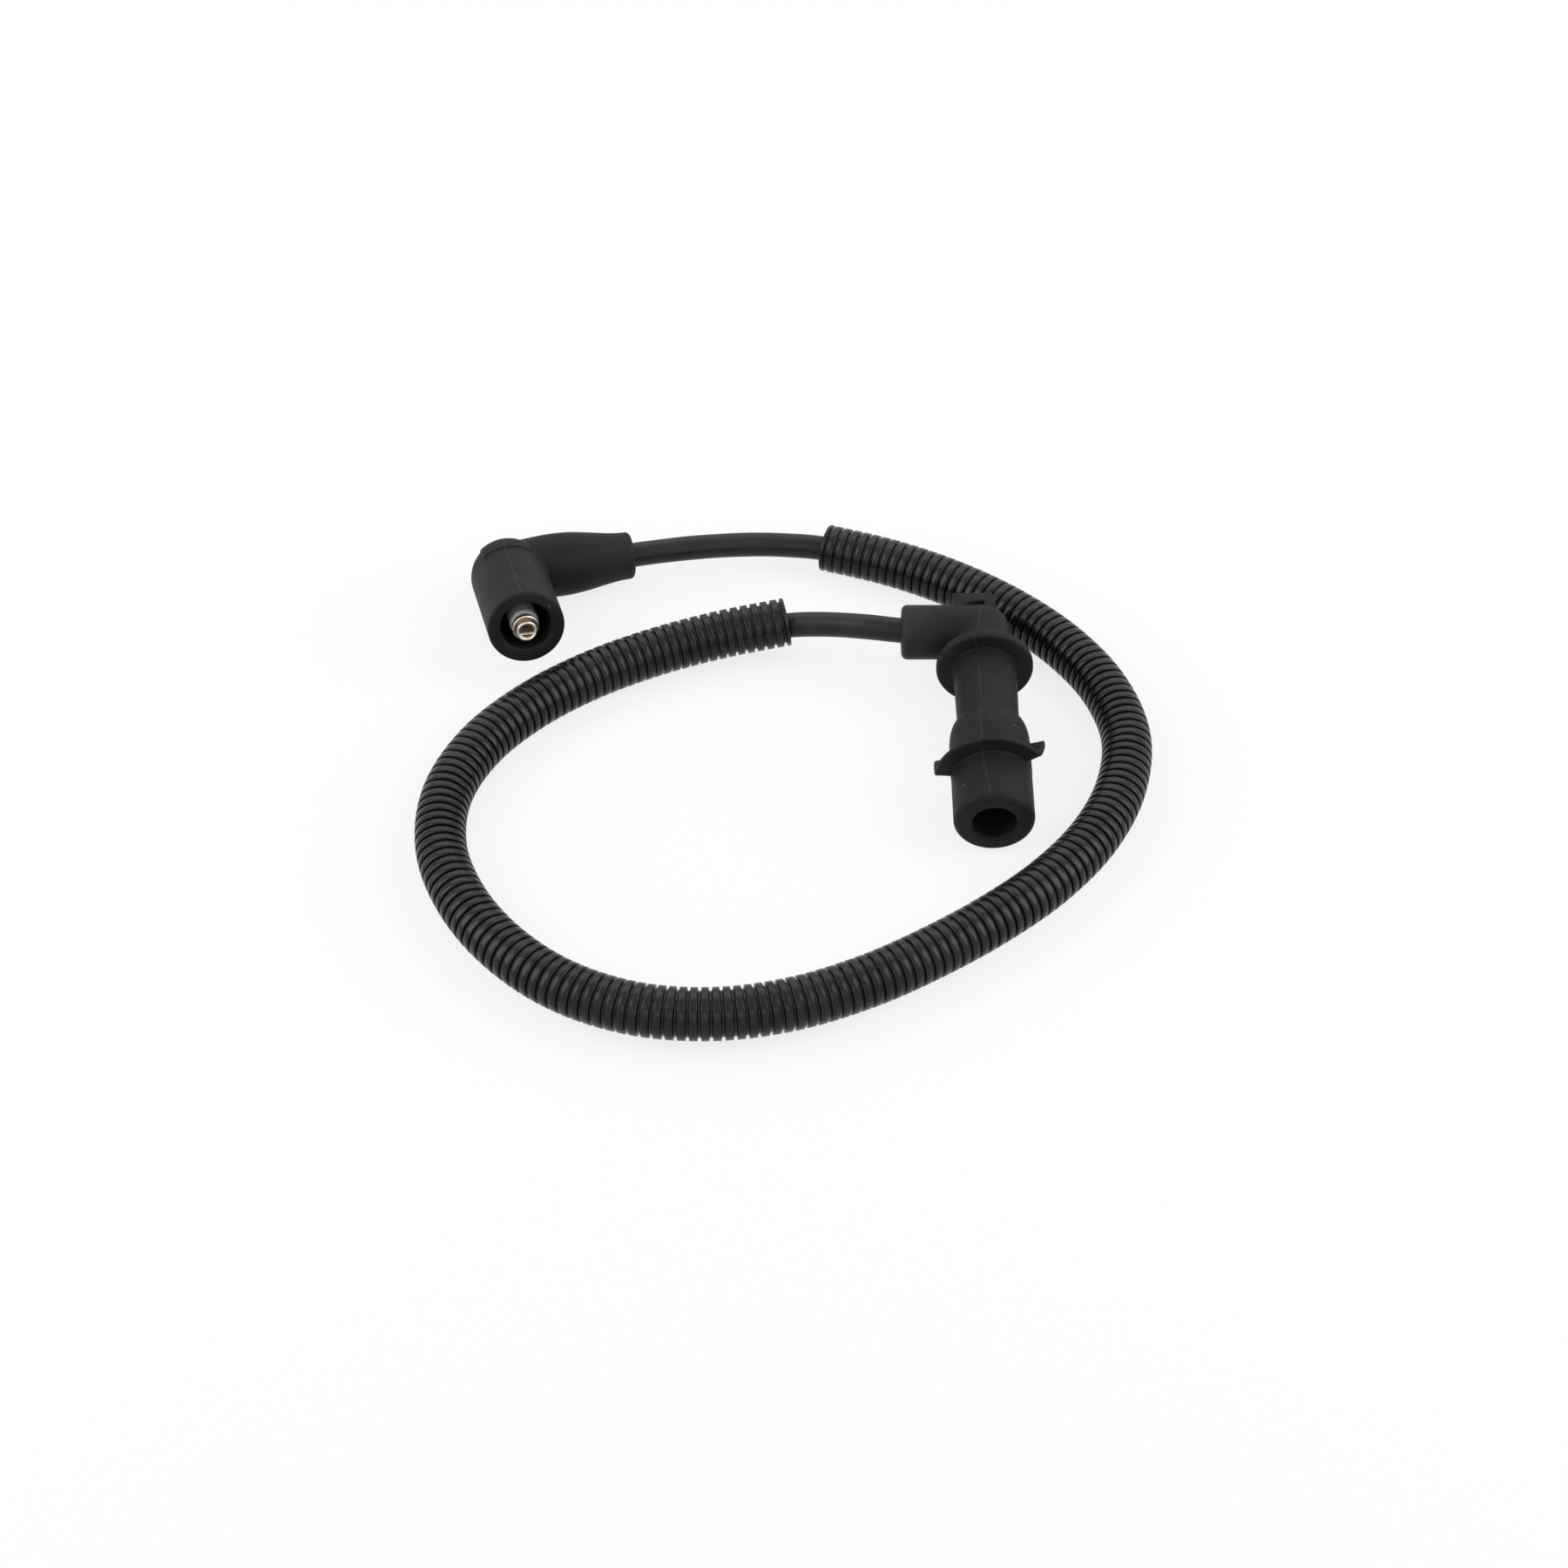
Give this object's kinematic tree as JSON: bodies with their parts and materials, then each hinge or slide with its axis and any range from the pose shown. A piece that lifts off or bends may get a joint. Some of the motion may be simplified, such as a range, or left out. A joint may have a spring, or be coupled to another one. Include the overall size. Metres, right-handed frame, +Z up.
{
  "type": "spark plug wire",
  "caption": "Ignition lead: high-tension cable in corrugated conduit, lying in a loop, with a right-angle rubber boot and snap terminal at each end.",
  "frame": {"origin": "on the bench, below the middle of the box round the two boots and their terminals", "axes": "+Z up from the bench; +X to the right and +Y away from a person who sees the plug boot's mouth point at them"},
  "size_m": [0.1959, 0.1899, 0.0292],
  "materials": {
    "boot_rubber": "matte moulded rubber",
    "terminal_steel": "bright plated sheet steel and spring wire",
    "sleeve": "pale translucent insulator",
    "cable_jacket": "satin extruded jacket",
    "cable_core": "dull carbon-loaded conductor",
    "conduit": "satin moulded nylon"
  },
  "bodies": {
    "root": {"coil_boot": "boot_rubber", "coil_terminal": "terminal_steel", "coil_snap_ring": "terminal_steel", "coil_terminal_sleeve": "sleeve", "plug_boot": "boot_rubber", "plug_terminal": "terminal_steel", "plug_snap_ring": "terminal_steel", "cable_jacket": "cable_jacket", "cable_core": "cable_core", "conduit": "conduit"}
  },
  "joints": []
}
